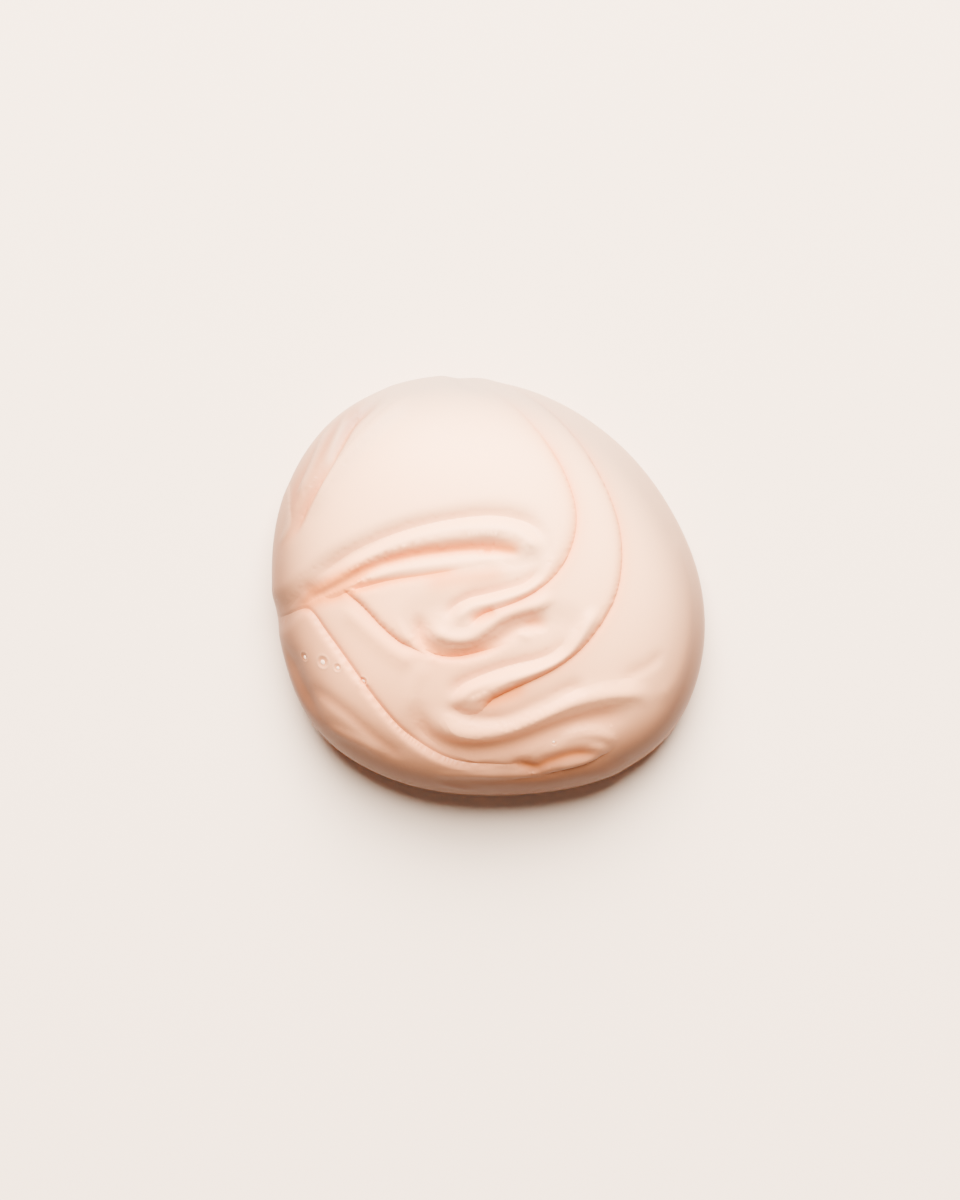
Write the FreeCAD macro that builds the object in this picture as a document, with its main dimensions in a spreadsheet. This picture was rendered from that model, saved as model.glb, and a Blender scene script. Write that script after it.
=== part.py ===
import FreeCAD, Part
import math
import os

# A dollop of thick pearl cream, as squeezed out on a flat surface, in millimetres.
#
# The cream left its nozzle as a fat ribbon that folded to and fro on itself. Each fold, or lap, is one solid:
# the laps lie side by side round and over a low pool, and meet face to face at the creases. A lap that was
# laid later covers the earlier ones, so its outline is whole and the laps under it are cut by it. +Z is up,
# the floor is z = 0, and the origin is the middle of the footprint's box.

PARTS_FOLDER = "parts"

# ---- Driving dimensions, kept in the document's spreadsheet ----

DRIVING = {
    "overall_width": 36.0,  # along X, at the belly
    "overall_depth": 34.7,  # along Y, at the belly
    "overall_height": 12.0,  # floor to the top of the crown
    "belly_height": 2.7,  # where the side stands furthest out
    "contact_share": 0.93,  # the contact line's share of the belly's outline
    "crown_share": 0.12,  # the flat top's share of the belly's outline
    "dome_fullness": 0.88,  # power of the dome's profile: 1 is an ellipse, less is fuller
    "lap_step": 0.25,  # how far one level of laps stands above the next
    "lap_fade": 2.0,  # the height above the belly over which that step grows
    "pool_width": 27.0,
    "pool_depth": 25.5,
    "pool_height": 4.2,
    "cutter_height": 16.0,  # the laps' cutting prisms end above the crown
}
NOMINAL_WIDTH = 36.0  # the outlines below are drawn at this width and depth
NOMINAL_DEPTH = 34.7
PROFILE_ANGLES = (90, 74, 60, 47, 36, 26, 17, 8)  # degrees from the crown, down to the belly
UNDERCUT_ANGLES = (90, 60, 30)  # degrees below the belly, from the contact line up

# ---- Outlines seen from above ----

BELLY = [
    (-2.0, 17.35), (3.0, 16.5), (8.0, 14.1), (12.3, 10.4), (15.5, 5.8), (17.5, 0.8), (18.0, -3.5),
    (17.2, -8.3), (14.8, -12.6), (10.5, -15.6), (5.5, -16.95), (0.2, -17.35), (-5.5, -16.8),
    (-10.6, -14.9), (-14.6, -11.6), (-16.8, -7.0), (-17.8, -2.0), (-18.0, 1.6), (-17.5, 5.9),
    (-15.6, 10.6), (-12.4, 14.3), (-7.8, 16.6),
]

# Every lap but the first, from the first laid to the last: its name, its level and its outline. Where an
# outline passes the belly, the lap reaches the floor. Where it lies under a later lap, it is not seen.
LAPS = [
    ("waist_fold", 0, [
        (-4.0, -5.0), (2.0, -3.5), (6.5, -3.0), (6.8, -4.5), (4.0, -7.0), (0.0, -9.0), (-2.0, -11.5),
        (-4.4, -11.2), (-6.2, -10.0), (-6.9, -8.4), (-6.2, -6.8), (-5.0, -5.6),
    ]),
    ("left_panel", 0, [
        (-19.5, -1.8), (-14.5, -0.2), (-11.0, -0.2), (-8.5, -1.8), (-6.5, -3.5), (-4.8, -5.0),
        (-4.6, -6.2), (-5.4, -7.3), (-6.1, -8.8), (-6.0, -11.0), (-3.6, -13.2), (0.6, -14.2),
        (0.4, -15.1), (-5.0, -14.8), (-9.0, -12.0), (-12.5, -7.5), (-15.2, -4.2), (-19.5, -3.6),
    ]),
    ("lower_fold", 0, [
        (-3.6, -10.2), (-5.0, -9.2), (-6.2, -9.0), (-6.4, -10.3), (-6.0, -11.7), (-4.9, -12.95),
        (-3.2, -13.9), (-1.0, -14.6), (1.2, -15.0), (3.2, -15.1), (6.0, -15.0), (9.5, -14.0),
        (12.2, -12.6), (14.2, -10.6), (14.6, -8.9), (13.4, -8.4), (10.0, -8.6), (6.0, -9.9),
        (2.0, -11.7), (-1.0, -12.0), (-2.8, -11.3),
    ]),
    ("lower_lip", 1, [
        (-3.7, -10.7), (-2.6, -11.15), (-1.0, -11.45), (0.6, -11.45), (2.2, -11.05), (4.0, -10.15),
        (6.0, -9.1), (8.0, -8.15), (10.0, -7.65), (12.0, -7.6), (13.4, -8.0), (13.9, -8.8),
        (13.2, -9.4), (11.6, -9.6), (9.6, -9.6), (7.4, -10.2), (5.0, -11.1), (2.6, -12.1),
        (0.2, -12.55), (-1.8, -12.3), (-3.3, -11.6),
    ]),
    ("rim_lap", 0, [
        (-20.0, -3.2), (-17.4, -2.6), (-16.2, -2.15), (-15.1, -1.9), (-14.7, -2.15), (-13.9, -3.2),
        (-12.6, -5.0), (-11.3, -6.8), (-10.2, -8.3), (-8.9, -10.0), (-7.5, -11.6), (-5.8, -13.05),
        (-4.0, -14.1), (-2.2, -14.6), (0.0, -14.75), (2.4, -14.8), (5.0, -14.5), (8.5, -13.8),
        (11.0, -14.2), (13.5, -15.5), (15.5, -18.0), (8.0, -20.0), (0.0, -21.0), (-8.0, -20.0),
        (-16.0, -16.0), (-20.0, -9.0),
    ]),
    ("foot_band", 1, [
        (-6.2, -15.1), (-4.0, -14.95), (-2.0, -15.0), (0.0, -15.1), (2.0, -15.05), (3.6, -14.9),
        (5.5, -14.9), (5.2, -15.3), (3.2, -15.72), (1.2, -15.95), (-0.8, -16.0), (-3.0, -15.85),
        (-5.0, -15.6),
    ]),
    ("lower_tongue", 1, [
        (2.0, -14.45), (3.2, -13.85), (4.6, -13.05), (6.2, -12.3), (8.0, -11.9), (9.5, -11.95),
        (10.3, -12.6), (10.2, -13.4), (9.3, -14.05), (8.0, -14.6), (6.2, -15.1), (4.4, -15.45),
        (3.2, -15.3), (2.2, -14.9),
    ]),
    ("middle_coil", 1, [
        (0.5, 17.6), (2.6, 16.2), (4.6, 14.9), (6.4, 13.2), (8.2, 10.8), (9.6, 8.2), (10.5, 5.8),
        (10.9, 3.4), (10.8, 1.0), (10.2, -1.3), (9.0, -3.4), (7.3, -5.4), (5.2, -6.9), (2.8, -8.1),
        (1.0, -8.95), (0.0, -9.6), (-0.8, -10.4), (-2.0, -10.7), (-3.0, -10.0), (-3.0, -8.9),
        (-2.0, -8.0), (0.0, -7.1), (2.2, -6.4), (4.2, -5.9), (5.6, -5.1), (6.2, -4.2), (5.9, -3.4),
        (5.1, -3.3), (4.3, -3.95), (3.4, -3.75), (2.4, -4.0), (1.2, -4.75), (-0.6, -5.4),
        (-2.6, -5.85), (-4.4, -5.7), (-5.6, -5.0), (-6.1, -3.5), (-5.0, -1.8), (-2.0, -0.2),
        (3.0, 4.0), (3.0, 9.0), (0.0, 13.0), (-3.0, 17.0), (-3.5, 19.5), (-1.0, 19.6),
    ]),
    ("centre_panel", 1, [
        (-11.4, -0.95), (-10.6, -1.6), (-9.6, -2.65), (-8.5, -3.75), (-7.2, -4.75), (-6.0, -5.3),
        (-5.1, -5.65), (-5.5, -4.9), (-5.85, -4.0), (-5.7, -3.1), (-5.0, -2.6), (-4.0, -2.55),
        (-2.6, -2.6), (0.0, -1.3), (3.0, -0.1), (4.2, 1.6), (2.5, 2.8), (0.0, 3.1), (-4.0, 2.9),
        (-8.0, 2.0), (-11.0, 0.6), (-12.0, -0.4),
    ]),
    ("upper_tongue", 2, [
        (-13.6, -0.95), (-12.0, -0.6), (-10.4, -0.1), (-8.4, 0.4), (-6.2, 0.75), (-4.2, 1.05),
        (-2.4, 1.4), (-0.8, 1.6), (0.6, 1.6), (1.1, 1.95), (0.8, 2.6), (-1.0, 3.0), (-5.0, 2.8),
        (-9.0, 2.0), (-12.5, 0.3), (-14.0, -0.5),
    ]),
    ("crown_lobe", 2, [
        (-20.0, -2.7), (-17.3, -2.4), (-16.0, -1.85), (-14.6, -0.9), (-12.0, 1.2), (-8.0, 3.0),
        (-3.0, 4.0), (1.5, 4.0), (3.4, 3.0), (3.8, 1.6), (3.2, 0.5), (1.5, -0.2), (-0.5, -0.7),
        (-2.4, -1.3), (-3.4, -2.4), (-2.9, -3.2), (-1.8, -3.25), (-1.0, -2.6), (0.4, -1.95),
        (2.2, -1.3), (4.0, -0.3), (5.6, 1.2), (6.7, 3.3), (7.05, 5.6), (6.5, 8.2), (5.3, 10.7),
        (3.6, 13.0), (1.5, 15.0), (-1.0, 16.5), (-3.5, 18.2), (-8.0, 19.0), (-13.0, 17.5),
        (-18.0, 12.0), (-20.5, 6.0), (-21.0, 1.0),
    ]),
    ("crown_lip", 2, [
        (-16.6, -2.0), (-15.4, -1.5), (-14.0, -0.95), (-12.0, -0.35), (-10.0, 0.75), (-8.0, 1.6),
        (-5.5, 2.1), (-3.0, 2.4), (-1.0, 2.6), (0.3, 2.62), (1.0, 2.0), (1.8, 1.65), (3.0, 1.7),
        (4.2, 2.2), (4.8, 3.3), (4.2, 4.4), (2.8, 5.25), (0.8, 5.7), (-1.6, 5.65), (-4.0, 5.3),
        (-6.5, 4.7), (-9.0, 3.85), (-11.2, 2.85), (-13.2, 1.5), (-14.8, 0.0), (-16.1, -1.3),
    ]),
    ("upper_flank_fold", 1, [
        (-8.0, 16.2), (-10.3, 14.5), (-11.4, 12.8), (-12.3, 11.0), (-13.6, 8.7), (-15.1, 6.3),
        (-16.3, 4.2), (-17.5, 4.6), (-19.5, 8.0), (-18.5, 12.5), (-15.5, 16.0), (-11.0, 18.5),
        (-7.2, 18.4),
    ]),
    ("lower_flank_fold", 1, [
        (-16.4, 8.6), (-16.2, 6.6), (-16.0, 5.2), (-16.5, 3.8), (-17.0, 2.2), (-17.3, 0.4),
        (-17.9, -1.2), (-20.0, -1.5), (-21.0, 4.0), (-19.5, 9.5), (-17.6, 9.8),
    ]),
]
FIRST_LAP = "outer_coil"  # the first laid: what every later lap leaves of the whole heap
TOP_LEVEL = max(level for _, level, _ in LAPS)
LEAST_OVERLAP = 0.001  # mm3: two prisms that share less than this don't cut each other

# Air bubbles that rose into the skin: x, y and diameter.
BUBBLES = [(-15.2, -5.8, 0.7), (-13.6, -6.2, 0.9), (-12.4, -6.65, 0.6), (-10.4, -7.8, 0.6), (5.3, -13.0, 0.4)]
BUBBLE_SINK = 0.35  # the share of its diameter by which a bubble's middle lies under the skin
BUBBLED_LAPS = ("rim_lap", "left_panel", "lower_tongue", "lower_fold")

os.makedirs(PARTS_FOLDER, exist_ok=True)
doc = FreeCAD.newDocument("cream_dollop")


# ---- Driving sheet ----

sheet = doc.addObject("Spreadsheet::Sheet", "sizes")
for row, (alias, value) in enumerate(DRIVING.items(), start=1):
    sheet.set(f"A{row}", alias)
    sheet.set(f"B{row}", str(value))
    sheet.setAlias(f"B{row}", alias)
doc.recompute()


def closed_curve(points, share=1.0):
    """A smooth closed curve through an outline's points, sized by the sheet and shrunk to a share of itself."""
    along_x = share * sheet.overall_width / NOMINAL_WIDTH
    along_y = share * sheet.overall_depth / NOMINAL_DEPTH
    curve = Part.BSplineCurve()
    curve.interpolate([FreeCAD.Vector(x * along_x, y * along_y, 0) for x, y in points], PeriodicFlag=True)
    return curve


def outline_sketch(body, name, points, share=1.0):
    """A sketch of one closed outline on the body's own floor plane."""
    sketch = body.newObject("Sketcher::SketchObject", name)
    floor = next(plane for plane in body.Origin.OriginFeatures if plane.Role == "XY_Plane")
    sketch.AttachmentSupport = [(floor, "")]
    sketch.MapMode = "FlatFace"
    sketch.addGeometry(closed_curve(points, share), False)
    return sketch


# ---- Envelope of the whole heap, one for each level of laps ----

def dome_section(angle):
    """The share of the outline, and the height's expression, at an angle from the crown down to the belly."""
    share = math.cos(math.radians(angle)) ** sheet.dome_fullness
    rise = math.sin(math.radians(angle))
    return share, f"sizes.belly_height + (sizes.overall_height - sizes.belly_height) * {rise:.6f}"


def undercut_section(angle):
    """The same under the belly, where the side draws in to the contact line."""
    tuck = (1 - sheet.contact_share) * (1 - math.cos(math.radians(angle)))
    drop = 1 - math.sin(math.radians(angle))
    return 1 - tuck, f"sizes.belly_height * {drop:.6f}"


def envelope(level):
    """The heap's outer shape as a loft of shrunken outlines, with its dome a few steps under the crown's."""
    body = doc.addObject("PartDesign::Body", f"envelope_level_{level}")
    steps_down = TOP_LEVEL - level
    sections = [undercut_section(angle) for angle in UNDERCUT_ANGLES]
    sections.append((1.0, "sizes.belly_height"))
    sections += [dome_section(angle) for angle in reversed(PROFILE_ANGLES[1:])]
    sections.append((sheet.crown_share, "sizes.overall_height"))
    sketches = []
    for number, (share, height) in enumerate(sections):
        sketch = outline_sketch(body, f"section_{level}_{number}", BELLY, share)
        grown = f"min(1; max(0; (({height}) - sizes.belly_height) / sizes.lap_fade))"
        sketch.setExpression("AttachmentOffset.Base.z", f"({height}) - {steps_down} * sizes.lap_step * {grown}")
        sketches.append(sketch)
    loft = body.newObject("PartDesign::AdditiveLoft", f"heap_{level}")
    loft.Profile = sketches[0]
    loft.Sections = sketches[1:]
    loft.Ruled = False
    doc.recompute()
    return body


envelopes = {level: envelope(level) for level in range(TOP_LEVEL + 1)}


# ---- Base pool: the first cream to land, which spread out low under all the laps ----

pool = doc.addObject("Part::Ellipsoid", "base_pool")
pool.setExpression("Radius1", "sizes.pool_height")
pool.setExpression("Radius2", "sizes.pool_width / 2")
pool.setExpression("Radius3", "sizes.pool_depth / 2")
pool.Angle1 = 0
pool.Angle2 = 90
pool.Label = "base_pool"


# ---- Laps ----

def cutting_prism(name, outline):
    """The upright prism on a lap's outline, from well under the floor to above the crown."""
    body = doc.addObject("PartDesign::Body", f"{name}_prism")
    pad = body.newObject("PartDesign::Pad", f"{name}_pad")
    pad.Profile = outline_sketch(body, f"{name}_outline", outline)
    pad.setExpression("Length", "2 * sizes.cutter_height")
    pad.Midplane = True
    return body


def surface_height(x, y):
    """The top envelope's height above a point of the plan."""
    ray = Part.makeLine(FreeCAD.Vector(x, y, sheet.belly_height), FreeCAD.Vector(x, y, sheet.cutter_height))
    return max(vertex.Z for vertex in ray.common(envelopes[1].Shape).Vertexes)


def bubble(number, x, y, diameter):
    ball = doc.addObject("Part::Sphere", f"bubble_{number}")
    ball.Radius = diameter / 2
    ball.Placement.Base = FreeCAD.Vector(x, y, surface_height(x, y) - BUBBLE_SINK * diameter)
    return ball


def cut_away(name, base, tools):
    """What the tools leave of a base, cut one after another, as the sub-part of that name."""
    for number, tool in enumerate(tools):
        cut = doc.addObject("Part::Cut", f"{name}_cut_{number}")
        cut.Refine = False
        cut.Base = base
        cut.Tool = tool
        base = cut
    base.Label = name
    return base


def overlap(name, other):
    return prisms[name].Shape.common(prisms[other].Shape).Volume > LEAST_OVERLAP


prisms = {name: cutting_prism(name, outline) for name, _, outline in LAPS}
doc.recompute()

bubbles = [bubble(number, *place) for number, place in enumerate(BUBBLES)]
air_bubbles = doc.addObject("Part::Compound", "air_bubbles")
air_bubbles.Links = bubbles
air_bubbles.Label = "air_bubbles"

sub_parts = [pool, air_bubbles]
sub_parts.append(cut_away(FIRST_LAP, envelopes[0], [pool, *prisms.values()]))
for order, (name, level, _) in enumerate(LAPS):
    whole = doc.addObject("Part::Common", f"{name}_whole")
    whole.Refine = False
    whole.Base = envelopes[level]
    whole.Tool = prisms[name]
    later = [prisms[other] for other, _, _ in LAPS[order + 1:] if overlap(name, other)]
    pockets = bubbles if name in BUBBLED_LAPS else []
    sub_parts.append(cut_away(name, whole, [pool, *later, *pockets]))
doc.recompute()


# ---- Checks and export ----

failed = [item.Label for item in doc.Objects if {"Invalid", "Error"} & set(item.State)]
if failed:
    raise RuntimeError(f"these objects failed: {failed}")
for part in sub_parts:
    if part.Shape.isNull() or not part.Shape.isValid() or not part.Shape.Solids:
        raise RuntimeError(f"{part.Label} has no valid shape")
for part in sub_parts:
    part.Shape.exportStep(os.path.join(PARTS_FOLDER, f"{part.Label}.step"))
    print(f"{part.Label}: {len(part.Shape.Solids)} solid(s), {part.Shape.Volume:.1f} mm3")
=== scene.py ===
import math

import bmesh
import bpy
import numpy as np
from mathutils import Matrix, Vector, geometry, kdtree


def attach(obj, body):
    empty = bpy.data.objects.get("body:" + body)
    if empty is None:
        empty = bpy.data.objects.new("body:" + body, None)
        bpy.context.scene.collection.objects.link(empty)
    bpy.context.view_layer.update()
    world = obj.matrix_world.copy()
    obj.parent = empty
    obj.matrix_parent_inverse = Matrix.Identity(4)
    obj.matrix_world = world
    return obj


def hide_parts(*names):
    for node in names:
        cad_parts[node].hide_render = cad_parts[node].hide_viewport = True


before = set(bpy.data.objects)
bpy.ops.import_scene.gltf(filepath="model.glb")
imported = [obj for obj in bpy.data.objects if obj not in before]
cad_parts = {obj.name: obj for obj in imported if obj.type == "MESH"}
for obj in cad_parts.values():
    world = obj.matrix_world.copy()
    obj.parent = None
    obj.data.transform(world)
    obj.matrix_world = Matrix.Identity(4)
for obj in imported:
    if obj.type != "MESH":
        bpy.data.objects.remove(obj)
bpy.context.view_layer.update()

# ---- The heap ----
# A thick pearl cream squeezed out on a flat surface. It stands as one low, full dome that draws in a little
# where it meets the floor. Every lap below is a patch of this dome's skin, raised or creased by some tenths
# of a millimetre. Sizes are in millimetres, +Y is away from the viewer and the floor is z = 0.

HEIGHT = 12.0
BELLY_HEIGHT = 2.7  # where the side stands furthest out
CONTACT_SHARE = 0.93  # the contact line's share of the belly's outline
DOME_FULLNESS = 0.88  # power of the dome's profile: 1 is an ellipse, less is fuller
MEAN_RADIUS = 17.6
REACH_PAST_BELLY = 3.0  # how fast the flat map runs on past the belly's outline
BELLY_OUTLINE = [
    (-2.0, 17.35), (3.0, 16.5), (8.0, 14.1), (12.3, 10.4), (15.5, 5.8), (17.5, 0.8), (18.0, -3.5),
    (17.2, -8.3), (14.8, -12.6), (10.5, -15.6), (5.5, -16.95), (0.2, -17.35), (-5.5, -16.8),
    (-10.6, -14.9), (-14.6, -11.6), (-16.8, -7.0), (-17.8, -2.0), (-18.0, 1.6), (-17.5, 5.9),
    (-15.6, 10.6), (-12.4, 14.3), (-7.8, 16.6),
]


def closed_spline(points, step):
    """A smooth closed curve through the points, sampled about every step. A third column runs linearly."""
    points = np.array(points, float)
    count = len(points)
    following = np.roll(points, -1, axis=0)
    chord = np.hypot(*(following - points)[:, :2].T)
    before = np.roll(chord, 1)
    system = np.zeros((count, count))
    slopes = (following - points)[:, :2] / chord[:, None]
    for i in range(count):
        system[i, i - 1] += before[i]
        system[i, i] += 2 * (before[i] + chord[i])
        system[i, (i + 1) % count] += chord[i]
    bend = np.linalg.solve(system, 6 * (slopes - np.roll(slopes, 1, axis=0)))
    samples = []
    for i in range(count):
        number = max(2, round(chord[i] / step))
        along = np.linspace(0, 1, number, endpoint=False)[:, None]
        back = 1 - along
        line = points[i] * back + following[i] * along
        curved = (back**3 - back) * bend[i] + (along**3 - along) * bend[(i + 1) % count]
        line[:, :2] += curved * chord[i] ** 2 / 6
        samples.append(line)
    return np.vstack(samples)


belly = closed_spline(BELLY_OUTLINE, 0.2)
belly_angles = np.arctan2(belly[:, 1], belly[:, 0])
belly_order = np.argsort(belly_angles)
belly_angles, belly_radii = belly_angles[belly_order], np.hypot(*belly.T)[belly_order]

dome_turn = np.linspace(math.pi / 2, 0, 400)
tuck_turn = np.linspace(0, math.pi / 2, 120)[1:]
profile_share = np.concatenate(
    [np.cos(dome_turn) ** DOME_FULLNESS, 1 - (1 - CONTACT_SHARE) * (1 - np.cos(tuck_turn))]
)
profile_height = np.concatenate(
    [BELLY_HEIGHT + (HEIGHT - BELLY_HEIGHT) * np.sin(dome_turn), BELLY_HEIGHT * (1 - np.sin(tuck_turn))]
)
profile_share[0] = 0
profile_reach = np.concatenate(
    [[0], np.cumsum(np.hypot(np.diff(profile_share), np.diff(profile_height) / MEAN_RADIUS))]
)
BELLY_REACH = profile_reach[len(dome_turn) - 1]
FLOOR_REACH = profile_reach[-1]


def belly_radius(angle):
    return np.interp(angle, belly_angles, belly_radii, period=2 * math.pi)


def unrolled(plan):
    """Plan points moved to the flat map of the skin, on which distances are those along the skin."""
    angle = np.arctan2(plan[:, 1], plan[:, 0])
    radius = belly_radius(angle)
    share = np.hypot(plan[:, 0], plan[:, 1]) / radius
    dome = slice(0, len(dome_turn))
    reach = np.interp(share, profile_share[dome], profile_reach[dome])
    reach += REACH_PAST_BELLY * np.maximum(share - 1, 0)
    return np.column_stack([radius * reach * np.cos(angle), radius * reach * np.sin(angle)])


def reach_of(flat):
    """How far down the dome's profile spots of the flat map lie."""
    return np.hypot(flat[:, 0], flat[:, 1]) / belly_radius(np.arctan2(flat[:, 1], flat[:, 0]))


def skin_points(flat):
    """The bare dome's points for spots of the flat map."""
    angle = np.arctan2(flat[:, 1], flat[:, 0])
    reach = reach_of(flat)
    out = belly_radius(angle) * np.interp(reach, profile_reach, profile_share)
    return np.column_stack(
        [out * np.cos(angle), out * np.sin(angle), np.interp(reach, profile_reach, profile_height)]
    )


def skin_normals(flat):
    near = 0.05
    along_x = skin_points(flat + [near, 0]) - skin_points(flat - [near, 0])
    along_y = skin_points(flat + [0, near]) - skin_points(flat - [0, near])
    normals = np.cross(along_x, along_y)
    return normals / np.linalg.norm(normals, axis=1)[:, None]


# ---- Outer coil ----
# The first and largest lap, swung round the right and lower right. It is what every later lap leaves bare.
# The laps and the strokes that shape them follow in the order in which the cream was laid.

OUTLINE_STEP = 0.1
STROKE_STEP = 0.12
relief = []


def eased(share):
    return share**2 * (3 - 2 * share)


def lay(name, outline, level=0.0, roll=1.0, foot=0.5, drop=0.1, crease_shade=1.0, bulge=0.7, melt=2.5):
    """A lap. Its outline holds points (x, y) or (x, y, crispness): 0 melts into its neighbours over the
    width melt, and 1 is a sharp crease. Level is its height over the dome, roll and foot are the widths over
    which its edge rolls and its foot dips, and drop is how deep the crease sinks. The crease-shade amount
    paints shade into the crease, a warmer and darker tint of the cream. Bulge says how round the rolled edge
    is."""
    outline = [(*point, 0.0) if len(point) == 2 else point for point in outline]
    plan = closed_spline(outline, OUTLINE_STEP)
    relief.append(dict(name=name, line=np.column_stack([unrolled(plan), plan[:, 2]]), level=level,
                       roll=roll, foot=foot, drop=drop, crease_shade=crease_shade, bulge=bulge, melt=melt))


def stroke(points, lift, over, under, painted_shade_tone=0.0, taper=1.5):
    """A ridge, or with a lift below 0 a valley. Over and under are the widths of its left and right sides,
    seen along its run. The painted shading that follows under is a warmer, darker painted shade above 0 and
    a paler painted highlight below 0, and taper fades both ends."""
    points = np.array(points, float)
    chord = np.hypot(*np.diff(points, axis=0).T)
    where = np.concatenate([[0], np.cumsum(chord)])
    fine = np.arange(0, where[-1], STROKE_STEP)
    padded = np.vstack([2 * points[0] - points[1], points, 2 * points[-1] - points[-2]])
    piece = np.clip(np.searchsorted(where, fine, side="right") - 1, 0, len(points) - 2)
    along = ((fine - where[piece]) / chord[piece])[:, None]
    a, b, c, d = (padded[piece + k] for k in range(4))
    line = 0.5 * (2 * b + (c - a) * along + (2 * a - 5 * b + 4 * c - d) * along**2
                  + (3 * b - a - 3 * c + d) * along**3)
    fade = np.clip(np.minimum(fine, where[-1] - fine) / taper, 0, 1)
    relief.append(dict(name=None, line=np.column_stack([unrolled(line), eased(fade)]), lift=lift,
                       over=over, under=under, painted_shade_tone=painted_shade_tone))


lay("outer_coil", BELLY_OUTLINE)
stroke([(10.4, -7.6), (11.8, -7.3), (13.5, -6.4), (14.4, -5.0)], -0.15, 0.8, 0.4, painted_shade_tone=0.1)
stroke([(13.4, -9.8), (15.4, -7.6), (16.4, -4.0), (16.4, 0.0), (15.2, 4.4)], 0.1, 0.8, 0.8)

# ---- Waist fold ----
# The strip between the hook's tail and the left panel. It melts into its neighbours.

lay("waist_fold", [
    (-4.0, -5.0), (2.0, -3.5), (6.5, -3.0), (6.8, -4.5), (4.0, -7.0), (0.0, -9.0), (-2.0, -11.5),
    (-4.4, -11.2), (-6.2, -10.0), (-6.9, -8.4), (-6.2, -6.8), (-5.0, -5.6),
])

# ---- Left panel ----
# A flat panel on the left, with its upper edge raised along the crease under the middle panel.

lay("left_panel", [
    (-19.5, -1.8), (-14.5, -0.2), (-11.0, -0.2), (-8.5, -1.8), (-6.5, -3.5), (-4.8, -5.0), (-4.6, -6.2),
    (-5.4, -7.3), (-6.1, -8.8), (-6.0, -11.0), (-3.6, -13.2), (0.6, -14.2), (0.4, -15.1), (-5.0, -14.8),
    (-9.0, -12.0), (-12.5, -7.5), (-15.2, -4.2), (-19.5, -3.6),
], level=0.1)
stroke([(-12.4, -1.5), (-11.2, -2.4), (-9.5, -4.0), (-7.6, -5.5), (-5.6, -6.3)], 0.2, 0.4, 0.9, painted_shade_tone=-0.3)
stroke([(-5.0, -6.0), (-5.9, -7.2), (-6.5, -8.8), (-6.6, -10.6), (-5.6, -12.6)], 0.15, 0.7, 0.7)

# ---- Lower fold ----
# The broad strip under the S-shaped lip. A soft valley runs along it.

lay("lower_fold", [
    (-3.6, -10.2), (-5.0, -9.2), (-6.2, -9.0), (-6.4, -10.3), (-6.0, -11.7), (-4.9, -12.95),
    (-3.2, -13.9), (-1.0, -14.6), (1.2, -15.0), (3.2, -15.1), (6.0, -15.0), (9.5, -14.0), (12.2, -12.6),
    (14.2, -10.6), (14.6, -8.9), (13.4, -8.4), (10.0, -8.6), (6.0, -9.9), (2.0, -11.7), (-1.0, -12.0),
    (-2.8, -11.3),
])
stroke([(-6.1, -9.0), (-6.0, -11.0), (-5.2, -12.4), (-3.6, -13.3), (-1.5, -13.5), (1.5, -13.1),
        (4.5, -12.2), (7.5, -11.3), (10.0, -10.8), (12.2, -10.6)], -0.45, 0.95, 1.0, painted_shade_tone=0.3, taper=3)

# ---- Lower lip ----
# The long S-shaped ridge low on the right, drawn up as the ribbon turned back on itself.

lay("lower_lip", [
    (-3.7, -10.7), (-2.6, -11.15), (-1.0, -11.45), (0.6, -11.45), (2.2, -11.05), (4.0, -10.15),
    (6.0, -9.1), (8.0, -8.15), (10.0, -7.65), (12.0, -7.6), (13.4, -8.0), (13.9, -8.8), (13.2, -9.4),
    (11.6, -9.6), (9.6, -9.6), (7.4, -10.2), (5.0, -11.1), (2.6, -12.1), (0.2, -12.55), (-1.8, -12.3),
    (-3.3, -11.6),
])
stroke([(-3.6, -9.4), (-3.0, -10.4), (-1.8, -10.9), (0.0, -11.1), (1.5, -11.0), (3.0, -10.4), (5.0, -9.5),
        (6.5, -8.7), (8.2, -8.0)], -0.3, 0.8, 0.4, painted_shade_tone=0.15)
stroke([(-4.2, -9.8), (-3.9, -10.9), (-3.0, -11.8), (-1.6, -12.2), (0.0, -12.15), (2.0, -11.6),
        (4.0, -10.7), (6.0, -9.8), (8.0, -9.2), (10.0, -8.9), (12.0, -8.9), (13.8, -9.7)], 0.5, 0.8, 0.8,
       painted_shade_tone=-0.35, taper=3)

# ---- Rim lap ----
# The lap that wraps the lower-left rim. Its inner edge is pulled up into a thin bright lip.

lay("rim_lap", [
    (-20.0, -3.2, 0), (-17.4, -2.6, 0.3), (-16.2, -2.15, 0.6), (-15.1, -1.9, 1), (-14.7, -2.15, 1),
    (-13.9, -3.2, 1), (-12.6, -5.0, 1), (-11.3, -6.8, 1), (-10.2, -8.3, 1), (-8.9, -10.0, 1),
    (-7.5, -11.6, 1), (-5.8, -13.05, 1), (-4.0, -14.1, 1), (-2.2, -14.6, 0.9), (0.0, -14.75, 0.7),
    (2.4, -14.8, 0.2), (5.0, -14.5), (8.5, -13.8), (11.0, -14.2), (13.5, -15.5), (15.5, -18.0),
    (8.0, -20.0), (0.0, -21.0), (-8.0, -20.0), (-16.0, -16.0), (-20.0, -9.0),
], level=0.35, roll=0.45, foot=0.35, drop=0.15, crease_shade=0.5)
stroke([(-14.8, -8.2), (-12.0, -10.2), (-9.4, -12.4), (-6.8, -14.2)], -0.2, 0.8, 0.5, painted_shade_tone=0.2)
stroke([(-13.6, -11.2), (-12.0, -12.0), (-10.0, -12.9), (-8.6, -14.0)], 0.15, 0.4, 0.7, painted_shade_tone=-0.4)
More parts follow.
